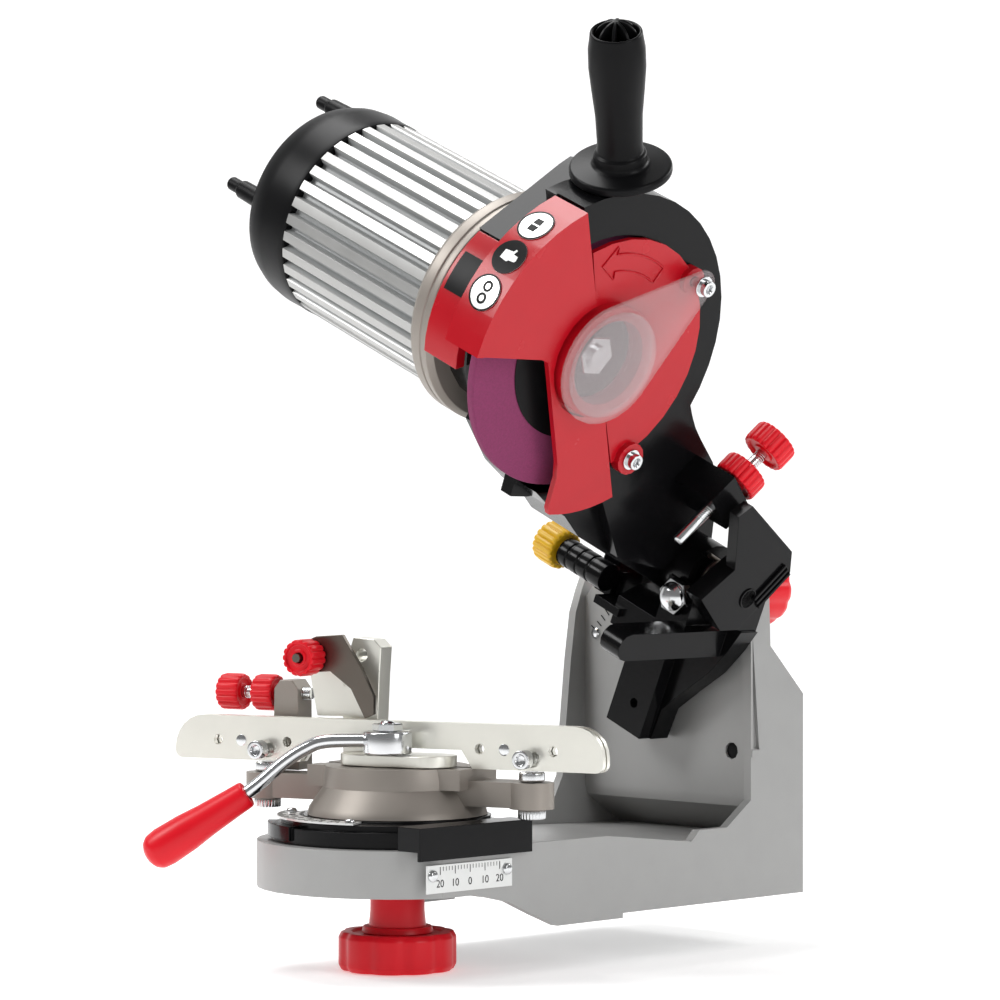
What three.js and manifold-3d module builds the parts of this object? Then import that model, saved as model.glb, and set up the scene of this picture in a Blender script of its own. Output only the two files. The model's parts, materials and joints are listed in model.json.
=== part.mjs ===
// Bench grinder that sharpens saw chain: a cast base bolted to a bench edge, a swivelling chain vise on
// its nose, and a tilting bracket that carries the swing-down motor head. Millimetres, +Z up.
// X points to the operator's right, Y to the back. The origin is the centre of the base's mounting face.
import * as THREE from "three";
import { mergeVertices } from "three/addons/utils/BufferGeometryUtils.js";
import Module from "manifold-3d";

const wasm = await Module();
wasm.setup();

// ---- driving dimensions ----
const GAP = 0.3;
const DEG = Math.PI / 180;

const BASE = { half: 63.5, wall: 5, footBack: 69, footFront: -69, lipFront: -114, lipDrop: 2.5 };
const NOSE = { y: -165, radius: 70, deckTop: 40, deckThick: 5, skirtBottom: 17 };
const WEB = { front: 29.2, thick: 5, foot: 50, topRadius: 80 };
const TILT = { z: 100, angle: 23.6, studRadius: 65, slotFrom: -6, slotTo: 51 };
const HINGE = { y: 7, w: 84, pin: 6, earOut: 50, earIn: 38.3 };
const WHEEL = { y: -114.9, w: 199.6, radius: 72.5, thick: 5, bore: 10 };
const HOUSING = { radius: 84.5, back: -46, front: 9, cavity: 77 };
const MOTOR = { front: -63, back: -172, radius: 54.5, fins: 36, finDepth: 4.5 };
const HANDLE = { u: -4, y: -4.5, z: 84.7, lean: 25, disc: 25.2 };
const SADDLE = { bottom: 40.3, top: 52, radius: 63 };
const VISE = { swivel: 18, dishBottom: 52.3, lugReach: 75, lugTop: 70.4 };
const RAIL = { left: -127.5, right: 115.5, bottom: 76.2, top: 98.4, thick: 3, gap: 1.6 };
const STOP_SCREW = { u: 30, tipY: -37, tipW: 107.8, rise: 48.3, length: 76 };
const KNOB_FLUTES = 12;
// The share of each round piece's stated number of sides that is really made.
const FINENESS = 0.58;

// ---- colours ----
const PAINT = { grey: 0x9d9e9c, black: 0x111214, red: 0xd01c22, steel: 0xc9ccce, zinc: 0xd8d8cc };
Object.assign(PAINT, { raw: 0xb9aea6, alu: 0xe2e2de, plastic: 0x1a1a1b, yellow: 0xf2c417, grit: 0x8d3b6b, clear: 0xd9cfcd });

function material(colour, roughness, metalness) {
  return new THREE.MeshStandardMaterial({ color: colour, roughness, metalness });
}

const FINISH = {
  base: material(PAINT.grey, 0.45, 0.6),
  black: material(PAINT.black, 0.2, 0.1),
  red: material(PAINT.red, 0.3, 0),
  steel: material(PAINT.steel, 0.25, 1),
  zinc: material(PAINT.zinc, 0.35, 1),
  raw: material(PAINT.raw, 0.5, 0.9),
  alu: material(PAINT.alu, 0.25, 1),
  plastic: material(PAINT.plastic, 0.45, 0),
  yellow: material(PAINT.yellow, 0.35, 0),
  grit: material(PAINT.grit, 0.95, 0),
  clear: material(PAINT.clear, 0.25, 0),
};

// ---- solids ----
// A closed geometry as a manifold solid: vertices merged, collapsed triangles dropped, faces outward.
function solid(geometry) {
  const bare = geometry.clone();
  bare.deleteAttribute("normal");
  bare.deleteAttribute("uv");
  const merged = mergeVertices(bare, 1e-4);
  const position = merged.attributes.position.array;
  const index = merged.index.array;
  const kept = [];
  for (let i = 0; i < index.length; i += 3) {
    const [a, b, c] = [index[i], index[i + 1], index[i + 2]];
    if (a !== b && b !== c && c !== a) kept.push(a, b, c);
  }
  let triVerts = new Uint32Array(kept);
  if (signedVolume(position, triVerts) < 0) triVerts = triVerts.reverse();
  return new wasm.Manifold(new wasm.Mesh({ numProp: 3, vertProperties: position, triVerts }));
}

function signedVolume(position, triangles) {
  const corner = (i) => new THREE.Vector3().fromArray(position, 3 * i);
  let six = 0;
  for (let i = 0; i < triangles.length; i += 3) {
    const [a, b, c] = [corner(triangles[i]), corner(triangles[i + 1]), corner(triangles[i + 2])];
    six += a.dot(b.cross(c));
  }
  return six / 6;
}

function geometryOf(manifold) {
  const mesh = manifold.getMesh();
  const geometry = new THREE.BufferGeometry();
  geometry.setAttribute("position", new THREE.BufferAttribute(new Float32Array(mesh.vertProperties), 3));
  geometry.setIndex(new THREE.BufferAttribute(new Uint32Array(mesh.triVerts), 1));
  geometry.computeVertexNormals();
  return geometry;
}

const union = (...parts) => parts.reduce((sum, part) => sum.add(part));

// Turns and moves a geometry built along +Z: "x" and "y" lay its length along that axis.
function along(geometry, axis, at = [0, 0, 0]) {
  const turned = geometry.clone();
  if (axis === "x") turned.applyMatrix4(new THREE.Matrix4().set(0, 0, 1, 0, 1, 0, 0, 0, 0, 1, 0, 0, 0, 0, 0, 1));
  if (axis === "y") turned.applyMatrix4(new THREE.Matrix4().set(1, 0, 0, 0, 0, 0, 1, 0, 0, 1, 0, 0, 0, 0, 0, 1));
  return turned.translate(...at);
}

function outline(points, holes = []) {
  const shape = new THREE.Shape(points.map(([a, b]) => new THREE.Vector2(a, b)));
  for (const hole of holes) shape.holes.push(new THREE.Path(hole.map(([a, b]) => new THREE.Vector2(a, b))));
  return shape;
}

// A prism of an outline: plateX takes (y, z) points, plateY (x, z) points and plateZ (x, y) points.
function plate(points, from, to, axis, holes) {
  const options = { depth: to - from, bevelEnabled: false, steps: 1 };
  const geometry = new THREE.ExtrudeGeometry(outline(points, holes), options).translate(0, 0, from);
  return solid(along(geometry, axis));
}
const plateX = (points, from, to, holes) => plate(points, from, to, "x", holes);
const plateY = (points, from, to, holes) => plate(points, from, to, "y", holes);
const plateZ = (points, from, to, holes) => plate(points, from, to, "z", holes);

const sides = (steps) => (steps <= 6 ? steps : Math.max(6, Math.round(steps * FINENESS)));

function arc(cx, cy, radius, fromDeg, toDeg, fullSteps) {
  const steps = sides(fullSteps);
  const points = [];
  for (let i = 0; i <= steps; i += 1) {
    const angle = (fromDeg + ((toDeg - fromDeg) * i) / steps) * DEG;
    points.push([cx + radius * Math.cos(angle), cy + radius * Math.sin(angle)]);
  }
  return points;
}

const circle = (cx, cy, radius, steps) => arc(cx, cy, radius, 0, 360, steps).slice(0, -1);

function box(x0, x1, y0, y1, z0, z1) {
  const geometry = new THREE.BoxGeometry(x1 - x0, y1 - y0, z1 - z0);
  return solid(geometry.translate((x0 + x1) / 2, (y0 + y1) / 2, (z0 + z1) / 2));
}

// A solid of revolution about an axis through `at`; profile is [radius, height] from axis to axis.
function turned(profile, steps, axis = "z", at = [0, 0, 0]) {
  const lathe = new THREE.LatheGeometry(profile.map(([r, h]) => new THREE.Vector2(r, h)), sides(steps));
  lathe.rotateX(Math.PI / 2);
  return solid(along(lathe, axis, at));
}

function rod(radius, from, to, steps, axis = "z", at = [0, 0, 0]) {
  return turned([[0, from], [radius, from], [radius, to], [0, to]], steps, axis, at);
}

function sleeve(inner, outer, from, to, steps, axis = "z", at = [0, 0, 0]) {
  return turned([[inner, from], [outer, from], [outer, to], [inner, to], [inner, from]], steps, axis, at);
}

// A fluted hand knob along +Z from z = 0, with a hole through it.
function knobSolid(radius, height, hole, flutes = KNOB_FLUTES) {
  const rim = [];
  for (let i = 0; i < flutes * 2; i += 1) {
    const angle = (i / (flutes * 2)) * 2 * Math.PI;
    const reach = i % 2 ? radius : radius * 0.93;
    rim.push([reach * Math.cos(angle), reach * Math.sin(angle)]);
  }
  return plateZ(rim, 0, height, [circle(0, 0, hole, 16)]);
}

// Places a solid made along +Z so that its axis runs along a direction from a point.
function placed(manifold, origin, direction) {
  const turn = new THREE.Quaternion().setFromUnitVectors(
    new THREE.Vector3(0, 0, 1),
    new THREE.Vector3(...direction).normalize(),
  );
  const matrix = new THREE.Matrix4().compose(new THREE.Vector3(...origin), turn, new THREE.Vector3(1, 1, 1));
  return manifold.transform(matrix.toArray());
}

// ---- scene graph ----
const machine = new THREE.Group();
const tiltFrame = new THREE.Group();
tiltFrame.position.set(0, 0, TILT.z);
tiltFrame.rotation.y = TILT.angle * DEG;
const wheelFrame = new THREE.Group();
wheelFrame.position.set(0, WHEEL.y, WHEEL.w);
tiltFrame.add(wheelFrame);
const noseFrame = new THREE.Group();
noseFrame.position.set(0, NOSE.y, 0);
const viseFrame = new THREE.Group();
viseFrame.rotation.z = VISE.swivel * DEG;
noseFrame.add(viseFrame);
machine.add(tiltFrame, noseFrame);

function add(frame, name, finish, manifold) {
  const mesh = new THREE.Mesh(geometryOf(manifold), finish);
  mesh.name = name;
  frame.add(mesh);
}

// ---- base ----
// The column's front edges, from the top down, as (y, z) points: the left plate reaches further forward.
const COLUMN_EDGE = {
  left: [[31.5, 167.5], [26.8, 158], [22.1, 146], [18.2, 120], [14.3, 84], [12, 58], [3, 42], [-12, 38]],
  right: [[31, 160], [27.6, 150], [27.6, 51], [9, 38], [-12, 38]],
};

// One side plate, as (y, z) points: lip, foot, back edge, column top, column front, arm top, nose.
function sidePlate(columnEdge) {
  const top = [
    [BASE.footBack, 105],
    [43, 131],
    [42, 158],
    [38, 167.5],
    ...columnEdge,
    [-18, 32.5],
    [-80, 39.5],
    [-129, NOSE.deckTop],
    [-194.5, NOSE.deckTop],
  ];
  const bottom = [
    [-194.5, NOSE.skirtBottom],
    [-172, NOSE.skirtBottom],
    [-150, 12],
    [-132, 4],
    [-116, -BASE.lipDrop],
    [BASE.footFront, -BASE.lipDrop],
    [BASE.footFront, 0],
    [BASE.footBack, 0],
  ];
  return [...bottom, ...top];
}

function noseDeck() {
  const front = arc(0, NOSE.y, NOSE.radius, 205, 335, 20);
  const inner = NOSE.radius - BASE.wall;
  const lip = arc(0, NOSE.y, inner, 204.5, 335.5, 20).reverse();
  const skirt = plateZ([...front, ...lip], NOSE.skirtBottom, NOSE.deckTop);
  const half = BASE.half - 1;
  const deckOutline = [[half, -125], [-half, -125], ...front];
  const slot = [...arc(0, NOSE.y - 22, 7.5, 180, 360, 8), ...arc(0, NOSE.y + 22, 7.5, 0, 180, 8)].reverse();
  return skirt.add(plateZ(deckOutline, NOSE.deckTop - NOSE.deckThick, NOSE.deckTop, [slot]));
}

// The arm's deck and the column's front wall as one bent sheet, as (y, z) points.
function spine() {
  const half = BASE.half - 1;
  const back = WEB.front + WEB.thick;
  const sheet = [
    [-126, 35],
    [-80, 29],
    [66, 25],
    [64, 32],
    [back, WEB.foot + 2],
    [back, 150],
    [WEB.front, 150],
    [WEB.front, WEB.foot + 3],
    [WEB.front + 2, WEB.foot - 3],
    [56, 31],
    [-80, 35],
    [-126, NOSE.deckTop],
  ];
  const arch = arc(0, TILT.z, WEB.topRadius, 40, 140, 16);
  const wall = plateY([[half, 140], ...arch, [-half, 140]].reverse(), WEB.front, back);
  return plateX(sheet, -half, half).add(wall);
}

function studSlot() {
  const outer = arc(0, TILT.z, TILT.studRadius + 5.8, 90 - TILT.slotTo, 90 - TILT.slotFrom, 12);
  const inner = arc(0, TILT.z, TILT.studRadius - 5.8, 90 - TILT.slotFrom, 90 - TILT.slotTo, 12);
  return plateY([...outer, ...inner], WEB.front - 20, WEB.front + 20);
}

function baseCasting() {
  const leftPlate = plateX(sidePlate(COLUMN_EDGE.left), -BASE.half, -BASE.half + BASE.wall);
  const rightPlate = plateX(sidePlate(COLUMN_EDGE.right), BASE.half - BASE.wall, BASE.half);
  const flange = plateY([[BASE.half, 76], [BASE.half, 150], [55, 150], [59.5, 76]], 27.6, 34);
  const ledge = plateX([[27.6, 73.5], [34.8, 74.5], [34.8, 77], [27.6, 77]], BASE.half - 1, BASE.half + 1);
  const webBack = WEB.front + WEB.thick;
  const boss = rod(20, webBack - 1, webBack + 3, 32, "y", [0, 0, TILT.z]);
  const foot = box(-BASE.half + 1, BASE.half - 1, BASE.footFront, -40, 0, 7);
  const heel = box(-BASE.half + 1, BASE.half - 1, 40, BASE.footBack, 0, 7);
  const rib = box(-BASE.half + 1, BASE.half - 1, -9, 9, 0, 7);
  let body = union(leftPlate, rightPlate, flange, ledge, noseDeck(), spine(), boss, foot, heel, rib);
  const wedge = plateX([[28.9, 138], [29.4, 78], [34, 77.2]], BASE.half - 2, BASE.half + 2);
  body = body.subtract(wedge);
  body = body.subtract(studSlot());
  body = body.subtract(rod(8.3, 20, 60, 24, "y", [0, 0, TILT.z]));
  for (const side of [-1, 1]) {
    body = body.subtract(rod(4.5, 20, 60, 16, "y", [side * 48.5, 0, 76]));
  }
  for (const [x, y] of [[-40, -54], [40, -54], [-40, 55], [40, 55]]) {
    body = body.subtract(rod(4.5, -5, 20, 16, "z", [x, y, 0]));
  }
  return body;
}
add(machine, "base_casting", FINISH.base, baseCasting());

const scaleOuter = BASE.half + GAP;
add(machine, "slide_scale_plate", FINISH.alu, box(scaleOuter, scaleOuter + 1, -206, -149, 20, 33.5));
for (const [name, y] of [["front", -202.5], ["rear", -152.5]]) {
  const head = turned([[0, 0], [3, 0], [2.6, 1.2], [0, 1.8]], 20, "x", [scaleOuter + 1 + GAP, y, 28.5]);
  add(machine, `scale_screw_${name}`, FINISH.steel, head);
}

// ---- saddle on the nose ----
function saddleOutline(radius, back) {
  const edge = Math.acos((radius - 2) / radius) / DEG;
  return [[radius - 2, back], [-radius + 2, back], ...arc(0, 0, radius, 180 + edge, 360 - edge, 24)];
}

function saddle() {
  const body = plateZ(saddleOutline(SADDLE.radius, 30), SADDLE.bottom, SADDLE.top - 4);
  const upper = plateZ(saddleOutline(SADDLE.radius - 5, 28), SADDLE.top - 5, SADDLE.top - 1);
  const block = box(BASE.half - 12, BASE.half + 3.5, -48, 28, SADDLE.bottom, SADDLE.top);
  const apron = box(BASE.half + 1.6, BASE.half + 3.5, -48, 28, 36, SADDLE.top - 1);
  const plaque = plateZ(arc(0, 0, SADDLE.radius + 1.6, 222, 262, 8).concat(arc(0, 0, 50, 262, 222, 8)), 42, 49);
  const seat = rod(47, SADDLE.top - 6, SADDLE.top, 40);
  return union(body, upper, block, apron, plaque, seat).subtract(rod(6.6, 20, 60, 20));
}
add(noseFrame, "saddle", FINISH.black, saddle());

function anglePlate() {
  const band = [...arc(0, 0, 60, 208, 296, 18), ...arc(0, 0, 49, 296, 208, 18)];
  return plateZ(band, SADDLE.top - 1 + GAP, SADDLE.top + 0.2);
}
add(noseFrame, "angle_scale_plate", FINISH.alu, anglePlate());
for (const [name, angle] of [["left", 213], ["right", 292]]) {
  const at = [54.5 * Math.cos(angle * DEG), 54.5 * Math.sin(angle * DEG), SADDLE.top + 0.5];
  add(noseFrame, `angle_scale_screw_${name}`, FINISH.steel, turned([[0, 0], [2.8, 0], [2.3, 1.1], [0, 1.6]], 20, "z", at));
}

const clampKnob = union(
  knobSolid(29.4, 19, 6.4, 14).translate([0, 0, -25]),
  sleeve(6.4, 18, -6.5, -3, 32),
  turned([[6.4, -4], [15, -4], [13.4, 4], [13.4, 22], [6.4, 22], [6.4, -4]], 32),
);
add(noseFrame, "vise_lock_knob", FINISH.red, clampKnob);
add(noseFrame, "vise_stud", FINISH.steel, rod(6, -22, 74, 20));

// ---- turntable and rails ----
function turntable() {
  const dish = turned([[6.6, 52.3], [45, 52.3], [44, 56], [37, 66], [37, 70.4], [36, 76.3], [6.6, 76.3], [6.6, 52.3]], 48);
  const arms = [-1, 1].map((side) => {
    const x = [side * 20, side * VISE.lugReach].sort((a, b) => a - b);
    const arm = box(x[0], x[1], -8, 12, 58, VISE.lugTop);
    return arm.add(rod(11, 57.5, VISE.lugTop, 28, "z", [side * VISE.lugReach, 0, 0]));
  });
  const platform = box(-42, 44, -17, 22, 66, 76.3);
  let body = union(dish, ...arms, platform);
  body = body.subtract(box(-140, 140, -4.4, 4.4, 75.9, 80)).subtract(rod(6.6, 40, 80, 20));
  for (const side of [-1, 1]) body = body.subtract(rod(3.4, 50, 80, 16, "z", [side * VISE.lugReach, 0, 0]));
  return body;
}
add(viseFrame, "turntable", FINISH.raw, turntable());

for (const [name, side] of [["left", -1], ["right", 1]]) {
  const x = side * VISE.lugReach;
  const screw = union(rod(3, 52.4, 75.6, 16, "z", [x, 0, 0]), rod(6.4, VISE.lugTop + GAP, 75.6, 24, "z", [x, 0, 0]));
  add(viseFrame, `level_screw_${name}`, FINISH.steel, screw.add(knobSolid(6.9, 4.8, 2.6).translate([x, 0, 52.4])));
}

// A rail as (p, z) points: straight top, large end radii, and a bottom raised between its shoulders.
function railOutline() {
  const rise = 9;
  return [
    ...arc(RAIL.left + 4, RAIL.bottom + 4, 4, 180, 270, 4),
    [-54, RAIL.bottom],
    [-48, RAIL.bottom + rise],
    [38, RAIL.bottom + rise],
    [44, RAIL.bottom],
    ...arc(RAIL.right - 4, RAIL.bottom + 4, 4, 270, 360, 4),
    ...arc(RAIL.right - 15, RAIL.top - 15, 15, 0, 90, 6),
    ...arc(RAIL.left + 17, RAIL.top - 17, 17, 90, 180, 7),
  ];
}

function railHoles(forScrews) {
  const holes = [];
  for (const side of [-1, 1]) {
    const x = side * VISE.lugReach;
    for (const offset of [-27, 13.5]) holes.push(circle(x + offset, 86, 2.7, 14).reverse());
    if (forScrews) {
      holes.push([...arc(x - 2, 82, 4.2, 90, 270, 6), ...arc(x + 2, 82, 4.2, -90, 90, 6)].reverse());
    }
  }
  return holes;
}
const railFront = -RAIL.gap / 2 - RAIL.thick;
add(viseFrame, "front_rail", FINISH.zinc, plateY(railOutline(), railFront, -RAIL.gap / 2, railHoles(true)));
add(viseFrame, "rear_rail", FINISH.zinc, plateY(railOutline(), RAIL.gap / 2, RAIL.gap / 2 + RAIL.thick, railHoles(false)));
for (const [name, side] of [["left", -1], ["right", 1]]) {
  const x = side * VISE.lugReach;
  const head = union(rod(2.6, 0, 18, 16), sleeve(2.2, 4, 10.5, 18, 24)).subtract(rod(2, 14, 20, 6));
  add(viseFrame, `rail_screw_${name}`, FINISH.steel, placed(head, [x, RAIL.gap / 2 - 0.7, 82], [0, -1, 0]));
}

// ---- cam lever that squeezes the rails ----
const CAM = { x: 3.4, y: -16.3, bore: 4.2, heading: 203.3 };
const leverFrame = new THREE.Group();
leverFrame.position.set(CAM.x, CAM.y, 0);
leverFrame.rotation.z = CAM.heading * DEG;
viseFrame.add(leverFrame);

const WASHER = { p: 4.4, q: -6.7, reach: 31, half: 14.5 };
function camWasher() {
  const run = WASHER.reach - WASHER.half;
  const ends = [...arc(WASHER.p + run, WASHER.q, WASHER.half, -90, 90, 18), ...arc(WASHER.p - run, WASHER.q, WASHER.half, 90, 270, 18)];
  return plateZ(ends, 76.7, 82.4, [circle(CAM.x, CAM.y, CAM.bore, 20)]);
}
add(viseFrame, "cam_washer", FINISH.zinc, camWasher());

function leverRod() {
  const route = [[6, 89.4], [30, 89], [41, 85.2], [52, 78], [69, 64], [100, 43.8]];
  const path = new THREE.CatmullRomCurve3(route.map(([s, z]) => new THREE.Vector3(s, 0, z)));
  return solid(new THREE.ExtrudeGeometry(outline(circle(0, 0, 3.4, 12)), { steps: 22, extrudePath: path, bevelEnabled: false }));
}
const camHub = sleeve(CAM.bore, 12.1, 83, 94, 36);
add(leverFrame, "cam_lever", FINISH.steel, camHub.add(leverRod().subtract(rod(CAM.bore, 60, 100, 36))));
add(leverFrame, "cam_nut", FINISH.steel, union(rod(3.9, 77, 98, 20), rod(7.5, 94.3, 98, 6)));

const GRIP = { start: [69.6, 63], end: [118, 32] };
const gripRun = [GRIP.end[0] - GRIP.start[0], GRIP.end[1] - GRIP.start[1]];
const gripLength = Math.hypot(...gripRun);
const gripProfile = [
  [4, 0],
  [6.8, 0],
  [7.2, 8],
  [9.4, gripLength * 0.62],
  [9.9, gripLength * 0.85],
  [8.2, gripLength - 2],
  [4, gripLength + 1.5],
  [0, gripLength + 2],
  [0, 40],
  [4, 40],
  [4, 0],
];
const grip = placed(turned(gripProfile, 28), [GRIP.start[0], 0, GRIP.start[1]], [gripRun[0], 0, gripRun[1]]);
add(leverFrame, "lever_grip", FINISH.red, grip);

// ---- chain stop behind the rails ----
const STOP = { z: 109.5, q: 14 };
const blockOutline = [[-76, 71], [-61, 71], [-61.5, 112], [-65, 116.5], [-72, 116.5], [-75.5, 112]];
const stopBlock = plateY(blockOutline, 7, 21).subtract(rod(3.4, -90, -50, 16, "x", [0, STOP.q, STOP.z]));
add(viseFrame, "stop_block", FINISH.raw, stopBlock);
const stopKnobAt = (p) => placed(knobSolid(9.3, 14, 2.6), [p, STOP.q, STOP.z], [1, 0, 0]);
add(viseFrame, "stop_screw", FINISH.steel, rod(3, -112, -57, 18, "x", [0, STOP.q, STOP.z]).add(stopKnobAt(-109.5)));
const lockRing = placed(knobSolid(9.3, 13, 3.4), [-90, STOP.q, STOP.z], [1, 0, 0]);
add(viseFrame, "stop_lock_knob", FINISH.red, lockRing);

const PAWL = { p: -48.6, z: 129 };
function stopCarrier() {
  const jaw = [[-36, 76.8], [-17, 76.8], [-15, 120], [-14, 134], [-18, 138], [-30, 139], [-33, 130], [-36, 110]];
  const flange = [[-51, 98.9], [-30, 98.9], [-38, 124], [-42, 134], [-56, 134], [-56, 124]];
  const body = plateY(jaw, 8.3, 20).add(plateY(flange, 8.3, 20));
  return body.subtract(rod(3.2, 0, 40, 16, "y", [-25, 0, 130])).subtract(rod(2.6, 0, 40, 16, "y", [PAWL.p, 0, PAWL.z]));
}
add(viseFrame, "stop_carrier", FINISH.zinc, stopCarrier());
const pawlOutline = [
  [-55, 131],
  [-52, 137],
  [-46, 139.4],
  [-31, 140.5],
  [-20, 124],
  [-13, 110],
  [-13, 101],
  [-18, 99],
  [-26, 113.5],
  [-38, 122],
  [-49, 121],
  [-55, 126],
];
add(viseFrame, "stop_pawl", FINISH.black, plateY(pawlOutline, -1.4, 1.4, [circle(PAWL.p, PAWL.z, 2.6, 16)]));
add(viseFrame, "pawl_knob", FINISH.red, placed(knobSolid(9.3, 13, 2.6), [PAWL.p, -2.1, PAWL.z], [0, -1, 0]));
add(viseFrame, "pawl_stud", FINISH.black, rod(2.3, -17, 16, 14, "y", [PAWL.p, 0, PAWL.z]));

// ---- tilting bracket ----
const rightEdge = [[12, -16], [13, 2], [24, 18], [35.5, 34], [43, 50], [47.5, 63]];
const leftEdge = [[-45.7, 56], [-36, 38.7], [-24.4, 20], [-16, 4], [-15, -16]];

function tiltBracket() {
  const fan = plateY([...rightEdge, ...leftEdge], 14, 27.2);
  const leg = box(-15, 11, 6, 20, -16, 40);
  const crown = plateY([[-14, 50], [10, 50], [10, 72], [-14, 72]], 20, 27.2);
  const block = plateX([[-9, 38], [22, 38], [22, 61], [4, 60], [-9, 54]], -20, 10);
  const ledge = plateX([...arc(-57, 52.5, 7.5, 90, 270, 8), [27.2, 45], [27.2, 60]], 24.5, 38.4);
  const seatOutline = [[-10.1, 52], [12, 52], [12, 60], [4, 64.5], [-2, 68], [-6, 71], [-10.1, 80]];
  const seat = plateX(seatOutline, 9.6, 30.5);
  const rightEar = plateX([[-28, 84], [-6, 66], [7, 66], [34, 98], [30, 110], [17, 118], [-8, 102]], HINGE.earIn, HINGE.earOut);
  const rightFoot = plateX([[4, 66], [27.2, 60], [27.2, 90], [4, 72]], 38.3, 46);
  const tower = plateX([[-8, 95], [17, 110], [17, 118], [-12, 136], [-20, 130]], 43, HINGE.earOut);
  const leftEarOutline = [[5, 44], [27.2, 44], [27.2, 96], [16, 104], [0, 102], [-6, 90], [-6, 74], [5, 70]];
  const leftEar = plateX(leftEarOutline, -HINGE.earOut, -HINGE.earIn);
  const sill = box(-HINGE.earOut, 38, 10, 27.2, 46, 58);
  const shelf = box(-33, -14, -12, 20, 44, 48.5);
  let body = union(fan, leg, crown, block, ledge, seat, rightEar, rightFoot, tower, leftEar, sill, shelf);
  body = body.subtract(rod(HINGE.pin + GAP, -60, 49.6, 28, "x", [0, HINGE.y, HINGE.w]));
  body = body.subtract(rod(8.3, 11, 30, 24, "y"));
  body = body.subtract(rod(2.7, 0, 12, 16, "y"));
  body = body.subtract(rod(5.3, 10, 40, 20, "y", [0, 0, TILT.studRadius]));
  return body;
}
add(tiltFrame, "tilt_bracket", FINISH.black, tiltBracket());
add(tiltFrame, "tilt_pivot_bolt", FINISH.steel, union(rod(8, 11.3, 44.5, 28, "y"), rod(12, 37.6, 43.5, 6, "y")));
add(tiltFrame, "tilt_lock_stud", FINISH.steel, rod(4.8, 20, 78, 20, "y", [0, 0, TILT.studRadius]));
const lockKnob = union(
  turned([[5.3, 0], [11, 0], [10, 24], [5.3, 24], [5.3, 0]], 28),
  knobSolid(20, 21, 5.3, 14).translate([0, 0, 23]),
);
add(tiltFrame, "tilt_lock_knob", FINISH.red, placed(lockKnob, [0, 37, TILT.studRadius], [0, 1, 0]));
add(tiltFrame, "hinge_pin", FINISH.steel, rod(HINGE.pin, -49.5, 49.2, 28, "x", [0, HINGE.y, HINGE.w]));

function springSleeve(from, to) {
  const coils = 4;
  const pitch = (to - from) / coils;
  const profile = [[7.2, from]];
  for (let i = 0; i < coils; i += 1) {
    profile.push([9.5, from + i * pitch], [11, from + (i + 0.5) * pitch]);
  }
  profile.push([9.5, to], [7.2, to], [7.2, from]);
  return turned(profile, 24, "x", [0, HINGE.y, HINGE.w]);
}
add(tiltFrame, "lift_spring_left", FINISH.steel, springSleeve(-37.5, -23));
add(tiltFrame, "lift_spring_right", FINISH.steel, springSleeve(23, 37.5));

const ADJUSTER = { y: -4, w: 57 };
const adjusterAt = (u) => [u, ADJUSTER.y, ADJUSTER.w];
const barrelProfile = [[0, -69], [7, -69], [7.8, -68], [7.8, -34.3], [0, -34.3]];
add(tiltFrame, "adjuster_barrel", FINISH.black, turned(barrelProfile, 28, "x", adjusterAt(0)));
const adjusterKnob = placed(knobSolid(11.5, 14.5, 2.6), adjusterAt(-84.2), [1, 0, 0]).add(rod(3, -84, -69.3, 16, "x", adjusterAt(0)));
add(tiltFrame, "adjuster_knob", FINISH.yellow, adjusterKnob);
const hexBolt = union(rod(8.6, 0, 5.5, 6), turned([[0, 5], [7.6, 5], [6.6, 8], [3, 9.4], [0, 9.6]], 24));
add(tiltFrame, "bracket_bolt", FINISH.steel, placed(hexBolt, [20.4, -10.4, 72], [0, -1, 0]));

// ---- swing head: arm and wheel housing ----
const hingeY = HINGE.y - WHEEL.y;
const hingeZ = HINGE.w - WHEEL.w;

function sector(inner, outer, fromDeg, toDeg, steps) {
  return [...arc(0, 0, outer, fromDeg, toDeg, steps), ...arc(0, 0, inner, toDeg, fromDeg, steps)];
}

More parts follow.
